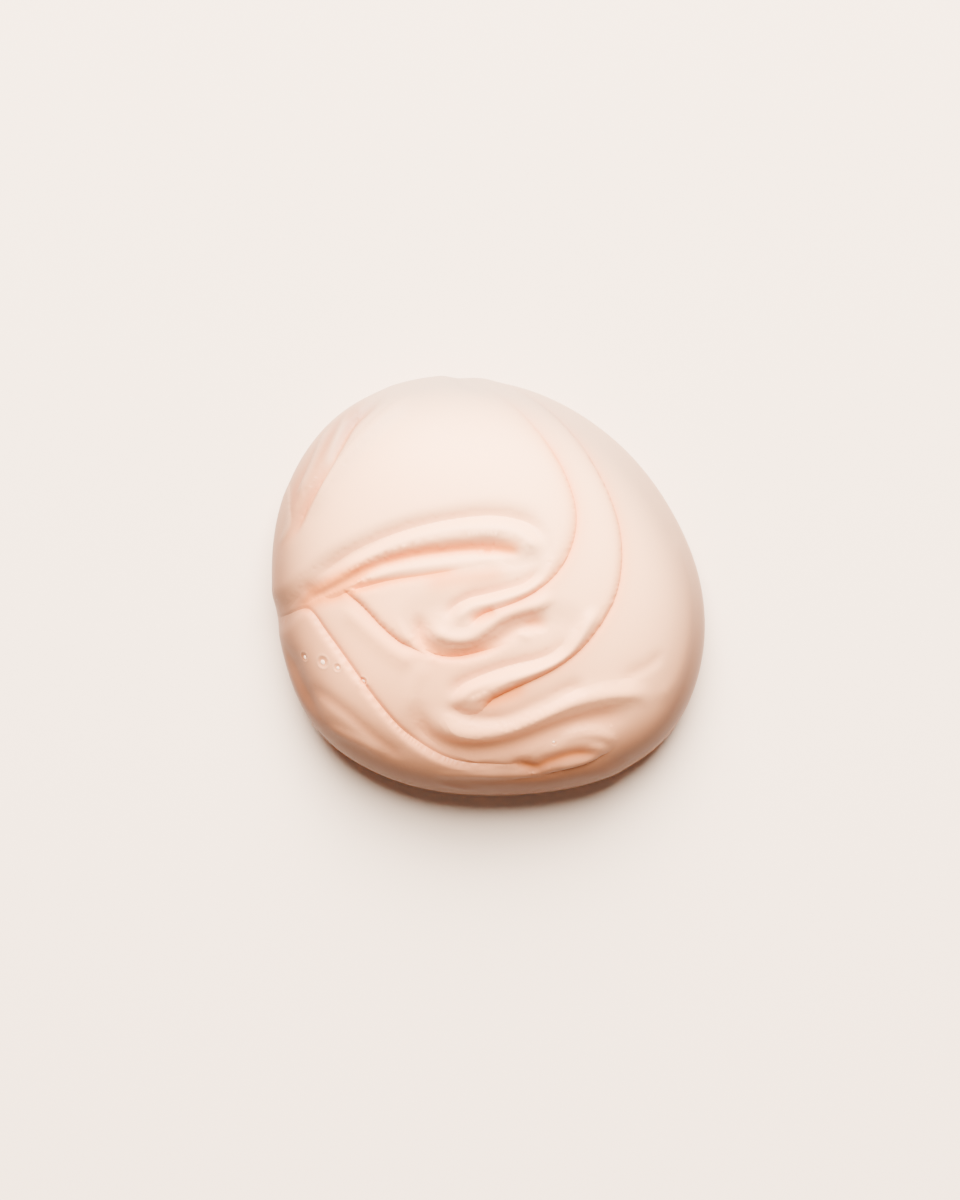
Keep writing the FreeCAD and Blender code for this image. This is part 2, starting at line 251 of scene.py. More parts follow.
stroke([(-17.0, -4.0), (-16.2, -6.6), (-14.9, -9.2), (-13.2, -11.0)], -0.45, 2.0, 0.8, painted_shade_tone=0.2, taper=3)

# ---- Foot band ----
# A thin bright band pinched along the bottom rim.

lay("foot_band", [
    (-6.2, -15.1), (-4.0, -14.95), (-2.0, -15.0), (0.0, -15.1), (2.0, -15.05), (3.6, -14.9), (5.5, -14.9),
    (5.2, -15.3, 0.8), (3.2, -15.72, 1), (1.2, -15.95, 1), (-0.8, -16.0, 0.8), (-3.0, -15.85, 0.3),
    (-5.0, -15.6),
], level=0.25, roll=0.5, foot=0.3, drop=0.05, crease_shade=0.2)
stroke([(-5.0, -15.3), (-2.0, -15.45), (1.0, -15.45), (4.0, -15.3)], 0.12, 0.35, 0.4, painted_shade_tone=-0.9)
stroke([(-4.6, -16.0), (-2.8, -16.35), (-0.6, -16.65)], 0.1, 0.25, 0.35, painted_shade_tone=-0.6)

# ---- Lower tongue ----
# The small tongue low on the right, folded over a deep little valley.

lay("lower_tongue", [
    (2.0, -14.45), (3.2, -13.85), (4.6, -13.05), (6.2, -12.3), (8.0, -11.9), (9.5, -11.95), (10.3, -12.6),
    (10.2, -13.4, 0.3), (9.3, -14.05, 0.8), (8.0, -14.6, 1), (6.2, -15.1, 1), (4.4, -15.45, 1),
    (3.2, -15.3, 0.5), (2.2, -14.9),
], level=0.25, roll=0.5, foot=0.3, drop=0.05, crease_shade=0.2)
stroke([(1.2, -14.5), (3.6, -14.95), (5.0, -14.5), (7.0, -13.9), (9.4, -13.8)], -0.4, 0.7, 0.4, painted_shade_tone=1.1,
       taper=2)
stroke([(5.4, -12.9), (7.2, -12.15), (9.0, -12.1), (10.1, -12.7), (9.9, -13.6)], 0.2, 0.4, 0.5, painted_shade_tone=-0.5)
stroke([(5.6, -15.0), (7.4, -14.6), (9.2, -14.0)], 0.15, 0.3, 0.2, painted_shade_tone=-0.6, taper=0.8)

# ---- Middle coil ----
# The lap inside the outer coil. It runs down from the top, turns under the middle and ends in a hook.

lay("middle_coil", [
    (0.5, 17.6, 0), (2.6, 16.2, 0.4), (4.6, 14.9, 0.7), (6.4, 13.2, 0.9), (8.2, 10.8, 1), (9.6, 8.2, 1),
    (10.5, 5.8, 1), (10.9, 3.4, 1), (10.8, 1.0, 1), (10.2, -1.3, 1), (9.0, -3.4, 1), (7.3, -5.4, 1),
    (5.2, -6.9, 1), (2.8, -8.1, 1), (1.0, -8.95, 1), (0.0, -9.6, 0.9), (-0.8, -10.4, 0.3), (-2.0, -10.7),
    (-3.0, -10.0), (-3.0, -8.9), (-2.0, -8.0), (0.0, -7.1), (2.2, -6.4), (4.2, -5.9), (5.6, -5.1),
    (6.2, -4.2), (5.9, -3.4), (5.1, -3.3), (4.3, -3.95), (3.4, -3.75), (2.4, -4.0), (1.2, -4.75, 0.3),
    (-0.6, -5.4, 0.8), (-2.6, -5.85, 1), (-4.4, -5.7, 1), (-5.6, -5.0, 0.5), (-6.1, -3.5), (-5.0, -1.8),
    (-2.0, -0.2), (3.0, 4.0), (3.0, 9.0), (0.0, 13.0), (-3.0, 17.0), (-3.5, 19.5), (-1.0, 19.6),
], level=0.35, roll=0.9, foot=0.4, drop=0.12, crease_shade=0.75)
stroke([(-3.4, -9.4), (-2.6, -8.3), (-1.5, -7.7), (0.0, -7.15), (2.0, -6.6), (4.0, -6.2), (5.6, -5.6),
        (6.8, -4.2)], -0.3, 0.7, 0.3, painted_shade_tone=0.2)
stroke([(-2.8, -10.2), (-2.4, -9.2), (-1.5, -8.5), (0.0, -7.95), (2.0, -7.3), (3.6, -6.8), (5.2, -6.1),
        (6.4, -5.1), (7.6, -3.6), (8.8, -1.6)], 0.35, 0.45, 0.5, painted_shade_tone=-0.3)
stroke([(-1.0, -10.2), (-0.1, -9.55), (1.4, -9.0), (3.4, -8.1)], -0.1, 0.4, 0.8, painted_shade_tone=0.7)

# ---- Centre panel ----
# The panel in the middle left, between the crown and the left panel.

lay("centre_panel", [
    (-11.4, -0.95, 1), (-10.6, -1.6, 1), (-9.6, -2.65, 1), (-8.5, -3.75, 1), (-7.2, -4.75, 1),
    (-6.0, -5.3, 0.8), (-5.1, -5.65, 0.3), (-5.5, -4.9), (-5.85, -4.0), (-5.7, -3.1), (-5.0, -2.6),
    (-4.0, -2.55), (-2.6, -2.6), (0.0, -1.3), (3.0, -0.1), (4.2, 1.6), (2.5, 2.8), (0.0, 3.1),
    (-4.0, 2.9), (-8.0, 2.0), (-11.0, 0.6), (-12.0, -0.4, 0.5),
], level=0.3, roll=0.7, foot=0.35, drop=0.15, crease_shade=0.8)
stroke([(-5.9, -2.0), (-5.9, -3.6), (-5.3, -4.8), (-4.2, -5.4), (-2.6, -5.6), (-1.0, -5.35), (0.2, -4.85),
        (1.2, -4.2), (2.2, -3.6), (3.2, -3.3), (4.2, -3.2), (5.2, -3.2)], -0.4, 0.95, 0.45, painted_shade_tone=0.45,
       taper=1.6)
stroke([(2.6, -3.2), (3.8, -3.0), (5.0, -3.1)], -0.12, 0.6, 0.6, painted_shade_tone=0.3, taper=0.9)
stroke([(-4.6, -2.8), (-4.2, -3.8), (-3.0, -4.3), (-1.6, -4.2), (-0.4, -3.4), (0.8, -2.6), (2.4, -2.0),
        (4.0, -1.5), (5.4, -0.6)], 0.35, 0.5, 0.45, painted_shade_tone=-0.3)
stroke([(2.0, -4.2), (2.8, -3.95), (3.6, -4.3)], 0.15, 0.2, 0.3, painted_shade_tone=-0.3, taper=0.7)

# ---- Upper tongue ----
# The short tongue that slid out from under the crown's lip.

lay("upper_tongue", [
    (-13.6, -0.95, 0.3), (-12.0, -0.6, 0.5), (-10.4, -0.1, 0.6), (-8.4, 0.4, 0.6), (-6.2, 0.75, 0.5),
    (-4.2, 1.05, 0.3), (-2.4, 1.4, 0.1), (-0.8, 1.6), (0.6, 1.6), (1.1, 1.95), (0.8, 2.6), (-1.0, 3.0),
    (-5.0, 2.8), (-9.0, 2.0), (-12.5, 0.3), (-14.0, -0.5),
], level=0.35, roll=0.5, foot=0.4, drop=0.15, crease_shade=1.0)
# A band of painted shade only, under the tongue's rolled edge.
stroke([(-6.0, 0.1), (-3.0, 0.5), (0.0, 0.9), (2.0, 1.0)], 0.0, 0.9, 0.9, painted_shade_tone=0.55, taper=2)

# ---- Crown lobe ----
# The large bright dome that the whole heap ends in. Its right edge is a sharp crease that hooks inwards.

lay("crown_lobe", [
    (-20.0, -2.7), (-17.3, -2.4), (-16.0, -1.85), (-14.6, -0.9), (-12.0, 1.2), (-8.0, 3.0), (-3.0, 4.0),
    (1.5, 4.0), (3.4, 3.0), (3.8, 1.6), (3.2, 0.5), (1.5, -0.2), (-0.5, -0.7), (-2.4, -1.3), (-3.4, -2.4),
    (-2.9, -3.2), (-1.8, -3.25, 0.1), (-1.0, -2.6, 0.5), (0.4, -1.95, 0.8), (2.2, -1.3, 1),
    (4.0, -0.3, 1), (5.6, 1.2, 1), (6.7, 3.3, 1), (7.05, 5.6, 1), (6.5, 8.2, 1), (5.3, 10.7, 1),
    (3.6, 13.0, 0.7), (1.5, 15.0, 0.4), (-1.0, 16.5, 0.1), (-3.5, 18.2), (-8.0, 19.0), (-13.0, 17.5),
    (-18.0, 12.0), (-20.5, 6.0), (-21.0, 1.0),
], level=0.65, roll=1.1, foot=0.4, drop=0.12, crease_shade=0.85)
stroke([(-3.8, -3.0), (-3.1, -1.9), (-1.6, -1.0), (0.0, -0.65), (1.6, -0.2), (3.0, 0.35), (4.4, 1.5)],
       -0.3, 0.5, 0.3, painted_shade_tone=0.25)
stroke([(-2.7, -3.4), (-2.4, -2.3), (-1.5, -1.5), (0.0, -1.2), (2.0, -0.6), (3.2, -0.1), (4.4, 0.9)],
       0.25, 0.3, 0.35, painted_shade_tone=-0.4)
stroke([(-1.9, -2.8), (-1.1, -2.6), (-0.3, -2.35), (0.6, -2.0)], -0.25, 0.4, 0.4, painted_shade_tone=0.6, taper=0.7)

# ---- Crown lip ----
# The fold that ends the crown on its lower side: a rounded lip over a deep flank.

lay("crown_lip", [
    (-16.6, -2.0), (-15.4, -1.5), (-14.0, -0.95, 0.2), (-12.0, -0.35, 0.4), (-10.0, 0.75, 0.4),
    (-8.0, 1.6, 0.3), (-5.5, 2.1, 0.2), (-3.0, 2.4, 0.1), (-1.0, 2.6), (0.3, 2.62), (1.0, 2.0),
    (1.8, 1.65), (3.0, 1.7), (4.2, 2.2), (4.8, 3.3), (4.2, 4.4), (2.8, 5.25), (0.8, 5.7), (-1.6, 5.65),
    (-4.0, 5.3), (-6.5, 4.7), (-9.0, 3.85), (-11.2, 2.85), (-13.2, 1.5), (-14.8, 0.0), (-16.1, -1.3),
], level=0.65, roll=1.2, foot=0.3, drop=0.05, crease_shade=0.4, bulge=0.2, melt=1.8)
stroke([(-15.0, 0.6), (-12.0, 2.1), (-10.0, 3.0), (-8.0, 4.1), (-6.0, 4.8), (-4.0, 5.25), (-2.0, 5.6),
        (0.0, 5.8), (1.8, 5.6), (3.4, 5.0), (4.6, 3.6)], -0.35, 0.8, 0.4, painted_shade_tone=0.2, taper=3)
stroke([(-13.0, 1.0), (-10.4, 2.4), (-8.0, 3.4), (-6.0, 4.05), (-4.0, 4.5), (-2.0, 4.75), (0.0, 4.8),
        (2.0, 4.5), (3.4, 3.6), (4.0, 2.4), (4.2, 1.2)], 0.3, 0.5, 0.6, painted_shade_tone=-0.3, taper=2.5)
stroke([(-15.4, -1.2), (-13.5, -0.4), (-12.0, 0.3), (-10.0, 1.3), (-8.0, 1.95), (-6.0, 2.4), (-4.0, 2.65),
        (-2.0, 2.85), (0.0, 2.85), (1.3, 2.75), (2.2, 2.6), (2.7, 2.4)], -0.36, 0.95, 0.25, painted_shade_tone=0.85,
       taper=0.9)
# A band of painted shade only, along the valley under the lip.
stroke([(-9.0, 2.0), (-6.0, 2.8), (-3.0, 3.15), (0.0, 3.3), (1.6, 3.15), (2.3, 2.7)], 0.0, 0.6, 0.6,
       painted_shade_tone=0.3, taper=0.8)
stroke([(-16.6, -1.6), (-14.6, -1.3), (-13.0, -0.9), (-11.4, -0.5)], -0.15, 0.6, 0.6, painted_shade_tone=0.5)
# A band of painted shade only, at the left pinch.
stroke([(-16.6, -1.6), (-14.4, -0.8), (-12.0, 0.2), (-8.0, 1.3)], 0.0, 1.2, 1.2, painted_shade_tone=0.6, taper=2.5)
stroke([(-11.0, 0.45), (-8.4, 1.1), (-6.0, 1.45), (-3.6, 1.75), (-1.4, 2.0), (0.2, 2.1), (1.2, 1.8)],
       0.14, 0.4, 0.4, painted_shade_tone=-0.5)
stroke([(-12.4, -0.8), (-10.4, 0.0), (-8.0, 0.5), (-6.0, 0.8), (-4.0, 1.1), (-2.0, 1.45)], -0.08, 0.25,
       0.4, painted_shade_tone=0.6, taper=2.0)
stroke([(-1.2, 1.7), (-0.3, 1.9), (0.7, 1.85)], -0.06, 0.15, 0.15, painted_shade_tone=0.2, taper=0.5)

# ---- Flank folds ----
# Two folds drawn up the upper-left flank as the ribbon's side wrinkled.

lay("upper_flank_fold", [
    (-8.0, 16.2), (-10.3, 14.5), (-11.4, 12.8), (-12.3, 11.0), (-13.6, 8.7), (-15.1, 6.3), (-16.3, 4.2),
    (-17.5, 4.6), (-19.5, 8.0), (-18.5, 12.5), (-15.5, 16.0), (-11.0, 18.5), (-7.2, 18.4),
], level=0.45)
# A broad band of painted shade only, beside the flank folds.
stroke([(-17.2, 2.0), (-16.4, 6.0), (-14.6, 9.6), (-12.4, 12.8), (-9.4, 15.6)], 0.0, 1.5, 1.5, painted_shade_tone=1.0,
       taper=3)
stroke([(-16.3, 3.0), (-15.2, 6.0), (-13.8, 8.6), (-12.4, 11.2), (-11.0, 13.4), (-8.2, 15.6)], -0.55, 0.4,
       0.6, painted_shade_tone=0.6, taper=3)
stroke([(-14.6, 5.4), (-13.0, 8.4), (-11.4, 10.6), (-9.8, 12.4), (-7.8, 14.2), (-5.8, 15.4)], 0.4, 0.5,
       0.8, painted_shade_tone=-0.8, taper=3)
stroke([(-15.6, 7.0), (-14.5, 9.6), (-13.7, 11.6), (-12.8, 13.2)], 0.3, 0.25, 0.3, painted_shade_tone=-1.0)
stroke([(-13.6, 9.0), (-12.4, 12.0), (-11.4, 14.4)], 0.18, 0.25, 0.3, painted_shade_tone=-0.9)

lay("lower_flank_fold", [
    (-16.4, 8.6, 0.4), (-16.2, 6.6, 0.8), (-16.0, 5.2, 0.8), (-16.5, 3.8, 0.6), (-17.0, 2.2, 0.5),
    (-17.3, 0.4, 0.3), (-17.9, -1.2), (-20.0, -1.5), (-21.0, 4.0), (-19.5, 9.5), (-17.6, 9.8),
], level=0.55, roll=0.5, foot=0.4, drop=0.08, crease_shade=0.3)
stroke([(-17.0, 3.2), (-16.3, 5.0), (-16.3, 6.8), (-16.5, 8.6)], 0.12, 0.25, 0.25, painted_shade_tone=-1.0, taper=1)

# ---- Dimples of the air bubbles ----
# Each trapped bubble of air sits in a little dimple of the skin. They are given by x, y and diameter.

BUBBLES = [
    (-15.2, -5.8, 0.7), (-13.6, -6.2, 0.9), (-12.4, -6.65, 0.6), (-10.4, -7.8, 0.6), (5.3, -13.0, 0.4),
]
bubble_spots = unrolled(np.array([(x, y) for x, y, _ in BUBBLES]))

# ---- Skin of the whole heap ----
# All the laps share one skin, so that neighbours meet exactly at every crease. Its map is filled with
# spots, closer together beside the creases and the narrow ridges, and cut along the outlines.

COARSE = 0.3
FINE = 0.13
FINE_BAND = 0.55
NARROW = 0.6  # a ridge with a side narrower than this gets the fine spots
CREASE_CLEARANCE = 0.075  # no spot comes nearer to an outline
GRID_HALF_SPAN = 1.05 * 18.4
RIM_RADIUS = 18.0
RIM_POINTS = 900
DIMPLE_RINGS = 11
LONGEST_REACH = 4.0  # past this distance an outline has no effect
CREASE_SHADE_WIDTH = 0.5


def nearest_on(line, closed, spots, reach):
    """Distance, side and third column of the line's nearest point, for each spot. Far spots get reach."""
    starts = line if closed else line[:-1]
    ends = np.roll(line, -1, axis=0) if closed else line[1:]
    distance = np.full(len(spots), reach, float)
    side = np.ones(len(spots))
    value = np.zeros(len(spots))
    low, high = line[:, :2].min(axis=0) - reach, line[:, :2].max(axis=0) + reach
    near = np.flatnonzero(((spots > low) & (spots < high)).all(axis=1))
    run = (ends - starts)[:, :2]
    length = np.maximum((run**2).sum(axis=1), 1e-12)
    for block in np.array_split(near, max(1, len(near) // 2000)):
        offset = spots[block, None, :] - starts[None, :, :2]
        share = np.clip((offset * run).sum(axis=2) / length, 0, 1)
        gap = offset - share[..., None] * run
        square = (gap**2).sum(axis=2)
        best = square.argmin(axis=1)
        rows = np.arange(len(block))
        found = np.sqrt(square[rows, best])
        distance[block] = np.minimum(found, reach)
        turn = run[best, 0] * offset[rows, best, 1] - run[best, 1] * offset[rows, best, 0]
        side[block] = np.where(turn >= 0, 1, -1)
        chosen = share[rows, best]
        value[block] = starts[best, 2] * (1 - chosen) + ends[best, 2] * chosen
    return distance, side, value


def inside(line, spots):
    low, high = line[:, :2].min(axis=0), line[:, :2].max(axis=0)
    near = np.flatnonzero(((spots > low) & (spots < high)).all(axis=1))
    result = np.zeros(len(spots), bool)
    x0, y0 = line[:, 0], line[:, 1]
    x1, y1 = np.roll(x0, -1), np.roll(y0, -1)
    rise = np.where(y1 == y0, 1e-12, y1 - y0)
    for block in np.array_split(near, max(1, len(near) // 4000)):
        x, y = spots[block, 0:1], spots[block, 1:2]
        crossed = ((y0 > y) != (y1 > y)) & (x < x0 + (y - y0) / rise * (x1 - x0))
        result[block] = crossed.sum(axis=1) % 2 == 1
    return result


laps = [shape for shape in relief if shape["name"]]


def hidden_by_later(order, spots):
    """Which spots of a lap's outline lie under a lap that was laid after it."""
    under = np.zeros(len(spots), bool)
    for later in laps[order + 1:]:
        under |= inside(later["line"], spots)
    return under


rim_angle = np.linspace(-math.pi, math.pi, RIM_POINTS, endpoint=False)
rim_ways = np.column_stack([np.cos(rim_angle), np.sin(rim_angle)])
rim = (belly_radius(rim_angle) * FLOOR_REACH)[:, None] * rim_ways
map_points = [rim]
map_edges = [np.column_stack([np.arange(RIM_POINTS), np.roll(np.arange(RIM_POINTS), -1)])]
placed = RIM_POINTS
for order, lap in enumerate(laps[1:], start=1):
    line = lap["line"]
    shown = ~hidden_by_later(order, line[:, :2]) & (reach_of(line) < FLOOR_REACH + 0.02)
    shown = shown | np.roll(shown, 1) | np.roll(shown, -1)
    index = np.cumsum(shown) - 1 + placed
    linked = shown & np.roll(shown, -1)
    map_points.append(line[shown, :2])
    map_edges.append(np.column_stack([index, np.roll(index, -1)])[linked])
    lap["shown"] = line[shown]
    placed += shown.sum()


def even_points(spacing):
    """Spots of an even triangular grid that covers the map."""
    span = GRID_HALF_SPAN * FLOOR_REACH
    rows = np.arange(-span, span, spacing * math.sqrt(3) / 2)
    columns = np.arange(-span, span, spacing)
    x, y = np.meshgrid(columns, rows)
    x[1::2] += spacing / 2
    spots = np.column_stack([x.ravel(), y.ravel()])
    return spots[reach_of(spots) < FLOOR_REACH - 0.4 * spacing / RIM_RADIUS]


outlines = np.vstack([lap["shown"][:, :2] for lap in laps[1:]])
crests = np.vstack([
    shape["line"][:, :2] for shape in relief
    if not shape["name"] and min(shape["over"], shape["under"]) < NARROW
])


def gap_to(line, spots):
    """Distance from each spot to the nearest point of a line."""
    tree = kdtree.KDTree(len(line))
    for index, (x, y) in enumerate(line):
        tree.insert((x, y, 0), index)
    tree.balance()
    return np.array([tree.find((x, y, 0))[2] for x, y in spots])


def in_fine_band(spots):
    return (gap_to(outlines, spots) < FINE_BAND) | (gap_to(crests, spots) < FINE_BAND)


coarse, fine = even_points(COARSE), even_points(FINE)
coarse = coarse[~in_fine_band(coarse)]
fine = fine[in_fine_band(fine) & (gap_to(outlines, fine) > CREASE_CLEARANCE)]
dimpled = np.full(len(fine), False)
for spot, (_, _, diameter) in zip(bubble_spots, BUBBLES):
    dimpled |= np.hypot(*(fine - spot).T) < 1.1 * diameter
map_points += [coarse, fine[~dimpled]]
for spot, (_, _, diameter) in zip(bubble_spots, BUBBLES):
    for ring in range(1, DIMPLE_RINGS + 1):
        around = np.linspace(0, 2 * math.pi, 5 * ring + 5, endpoint=False)
        ways = np.column_stack([np.cos(around), np.sin(around)])
        map_points.append(spot + ring / DIMPLE_RINGS * diameter * ways)
vertices, _, faces, *_ = geometry.delaunay_2d_cdt(
    [Vector(spot) for spot in np.vstack(map_points)], np.vstack(map_edges).tolist(), [], 0, 1e-5
)
flat = np.array([tuple(vertex) for vertex in vertices])
faces = np.array(faces)
centres = flat[faces].mean(axis=1)
keep = reach_of(centres) < FLOOR_REACH - 1e-4
faces, centres = faces[keep], centres[keep]
turn = np.cross(flat[faces[:, 1]] - flat[faces[:, 0]], flat[faces[:, 2]] - flat[faces[:, 0]])
faces[turn < 0] = faces[turn < 0][:, ::-1]
owner = np.zeros(len(faces), int)
for order, lap in enumerate(laps[1:], start=1):
    owner[inside(lap["line"], centres)] = order

height = np.zeros(len(flat))
painted_relief_shading = np.zeros(len(flat))
for shape in relief[1:]:
    line = shape["line"]
    if shape["name"] is None:
        reach = 3 * max(shape["over"], shape["under"])
        distance, side, weight = nearest_on(line, False, flat, reach)
        width = np.where(side > 0, shape["over"], shape["under"])
        bell = weight * np.exp(-((distance / width) ** 2)) * (distance < reach)
        height += shape["lift"] * bell
        # A stroke also paints into the colour: painted shade where its value is above 0 and a painted
        # highlight where it is below.
        painted_relief_shading += shape["painted_shade_tone"] * bell
        continue
    distance, _, crisp = nearest_on(line, True, flat, LONGEST_REACH)
    within = inside(line, flat)
    roll = shape["melt"] + (shape["roll"] - shape["melt"]) * crisp
    across = np.clip(distance / roll, 0, 1)
    full = shape["bulge"] * crisp
    edge = full * (1 - np.sqrt(1 - (1 - across) ** 2)) + (1 - full) * eased(1 - across)
    dip = eased(1 - np.clip(distance / shape["foot"], 0, 1))
    drop = shape["drop"] * crisp
    height = np.where(within, (height - drop) * edge + shape["level"] * (1 - edge), height - drop * dip)
    # Painted shade: a warmer, darker tint along the crease that fades away from it.
    tint = shape["crease_shade"] * crisp * np.exp(-distance / CREASE_SHADE_WIDTH)
    painted_relief_shading = np.where(within, np.maximum(tint, painted_relief_shading * edge), np.maximum(painted_relief_shading, tint))

# The narrow ridges flow smooth: each spot beside them takes its neighbours' mean a few times. The creases
# stay sharp.

FLOW_PASSES = 4
CREASE_HALF_WIDTH = 0.12

links = np.vstack([faces[:, [0, 1]], faces[:, [1, 2]], faces[:, [2, 0]]])
links = np.unique(np.sort(links, axis=1), axis=0)
neighbours = np.maximum(np.bincount(links.ravel(), minlength=len(flat)), 1)
open_skin = in_fine_band(flat) & (gap_to(outlines, flat) > CREASE_HALF_WIDTH)


def flowed(values):
    for _ in range(FLOW_PASSES):
        total = np.bincount(links[:, 0], values[links[:, 1]], len(flat))
        total += np.bincount(links[:, 1], values[links[:, 0]], len(flat))
        values = np.where(open_skin, total / neighbours, values)
    return values


height, painted_relief_shading = flowed(height), flowed(painted_relief_shading)

# Besides its shape, each dimple gets painted shade in its pit, a warmer tint, and a painted highlight on its
# lip, a paler tint.
for spot, (_, _, diameter) in zip(bubble_spots, BUBBLES):
    from_middle = np.hypot(*(flat - spot).T) / diameter
    pit = np.exp(-((from_middle / 0.5) ** 4))
    lip = np.exp(-(((from_middle - 0.66) / 0.12) ** 2))
    height += diameter * (0.03 * lip - 0.1 * pit)
    painted_relief_shading += 0.4 * pit - 0.2 * lip

# The relief runs out where the side turns under, so the foot stays plain.
map_reach = reach_of(flat)
height *= eased(np.clip((1.06 - map_reach / BELLY_REACH) / 0.2, 0, 1))
outward = skin_normals(flat)
skin = skin_points(flat) + outward * height[:, None]
skin[:, 2] = np.where(map_reach > FLOOR_REACH - 1e-6, 0, np.maximum(skin[:, 2], 0))

# Light and shade are painted into the cream's colour. A painted light falloff leaves it palest on the crown,
# where the light falls, and warmer and darker lower down on the near side; painted highlights pale its
# ridges and painted shade warms and darkens its creases. Low on the flanks a brown painted shade darkens it,
# more so on the near side turned away from the light, and on the far side the painted shade is grey.

# A painted light falloff: palest near the crown, where the light falls, warmer and darker towards the lower,
# near side.
even = 0.06 + 0.46 * np.clip((11 - skin[:, 1] - 0.35 * skin[:, 0]) / 20, 0, 1)
painted_shade_tone = np.clip(even + np.where(painted_relief_shading > 0, (1 - even) * painted_relief_shading, even * painted_relief_shading), 0, 1)
steep = eased(np.clip((1 - outward[:, 2]) / 0.46, 0, 1))
facing = outward[:, :2] / np.maximum(np.hypot(outward[:, 0], outward[:, 1]), 1e-6)[:, None]
shaded = np.clip(0.5 - 0.5 * facing[:, 1] + 0.3 * np.abs(facing[:, 0]), 0, 1)
under_side = np.clip((0.3 - outward[:, 2]) / 0.3, 0, 1)
# Painted shade on the steep flanks, strongest on the sides turned away from the light and a little lighter
# on walls that turn under.
painted_flank_shade = steep * (0.3 + 0.62 * shaded) * (1 - 0.35 * under_side)
# Grey painted shade on the steep far side.
painted_far_shade = steep * 0.8 * (1 - shaded) ** 1.5

# ---- Base pool ----
# The first cream to land spread out low under all the laps. It is hidden in the finished heap.

POOL_WIDTH = 27.0
POOL_DEPTH = 25.5
POOL_HEIGHT = 4.2
POOL_SIDES = 96
POOL_RINGS = 24
MM = 0.001


def mesh_piece(name, points, polygons):
    mesh = bpy.data.meshes.new(name)
    mesh.from_pydata((np.asarray(points) * MM).tolist(), [], polygons)
    mesh.polygons.foreach_set("use_smooth", [True] * len(mesh.polygons))
    piece = bpy.data.objects.new(name, mesh)
    bpy.context.collection.objects.link(piece)
    return piece


def ring_dome(around, rings, point):
    """Points and faces of a closed dome with a flat base: ring 0 is its top and the last ring its rim."""
    points = [point(0, 0)]
    for ring in range(1, rings + 1):
        points += [point(ring / rings, 2 * math.pi * k / around) for k in range(around)]
    polygons = [(0, 1 + k, 1 + (k + 1) % around) for k in range(around)]
    for ring in range(1, rings):
        inner, outer = 1 + (ring - 1) * around, 1 + ring * around
        for k in range(around):
            beside = (k + 1) % around
            polygons.append((inner + k, outer + k, outer + beside, inner + beside))
    last = 1 + (rings - 1) * around
    polygons.append(tuple(last + k for k in reversed(range(around))))
    return points, polygons


def pool_point(share, angle):
    turn = share * math.pi / 2
    return (
        POOL_WIDTH / 2 * math.sin(turn) * math.cos(angle),
        POOL_DEPTH / 2 * math.sin(turn) * math.sin(angle),
        POOL_HEIGHT * math.cos(turn),
    )


base_pool = mesh_piece("base-pool", *ring_dome(POOL_SIDES, POOL_RINGS, pool_point))
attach(base_pool, "root")
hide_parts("base_pool")

# ---- Cream ----
# One satin, pearly cream. Its colour carries painted light and shade: pale where it lies open to the light,
# and a warmer, darker painted shade in the creases, standing in for light that goes through the cream there.


class Wire:
    """A shader socket that can be added to, multiplied and so on, each as a Math node."""

    def __init__(self, tree, socket):
        self.tree, self.socket = tree, socket

    def node(self, kind, settings=None, **inputs):
        made = self.tree.nodes.new(kind)
        for key, value in (settings or {}).items():
            setattr(made, key, value)
        for key, value in inputs.items():
            target = made.inputs[int(key[1:])] if key[0] == "i" and key[1:].isdigit() else made.inputs[key]
            if isinstance(value, Wire):
                self.tree.links.new(value.socket, target)
            else:
                target.default_value = value
        return made

    def math(self, operation, left, right):
        made = self.node("ShaderNodeMath", {"operation": operation}, i0=left, i1=right)
        return Wire(self.tree, made.outputs[0])

    def __add__(self, other):
        return self.math("ADD", self, other)

    def __radd__(self, other):
        return self.math("ADD", other, self)

    def __sub__(self, other):
        return self.math("SUBTRACT", self, other)

    def __rsub__(self, other):
        return self.math("SUBTRACT", other, self)

    def __mul__(self, other):
        return self.math("MULTIPLY", self, other)

    def __rmul__(self, other):
        return self.math("MULTIPLY", other, self)

    def tint(self, pale, deep):
        """The colour between pale, at 0, and deep, at 1."""
        made = self.node("ShaderNodeMix", {"data_type": "RGBA"}, i0=self, i6=pale, i7=deep)
        return Wire(self.tree, made.outputs[2])


# The pale cream, then the colours of painted shade: a warm one for the creases and the low near side, a dark
# brown one for the steep flanks and a grey one for the far side.
PALE = (0.82, 0.46, 0.262, 1)
SHADE_WARM = (0.70, 0.20, 0.05, 1)
FLANK_SHADE_BROWN = (0.08, 0.027, 0.014, 1)
FAR_SHADE_GREY = (0.26, 0.2, 0.155, 1)


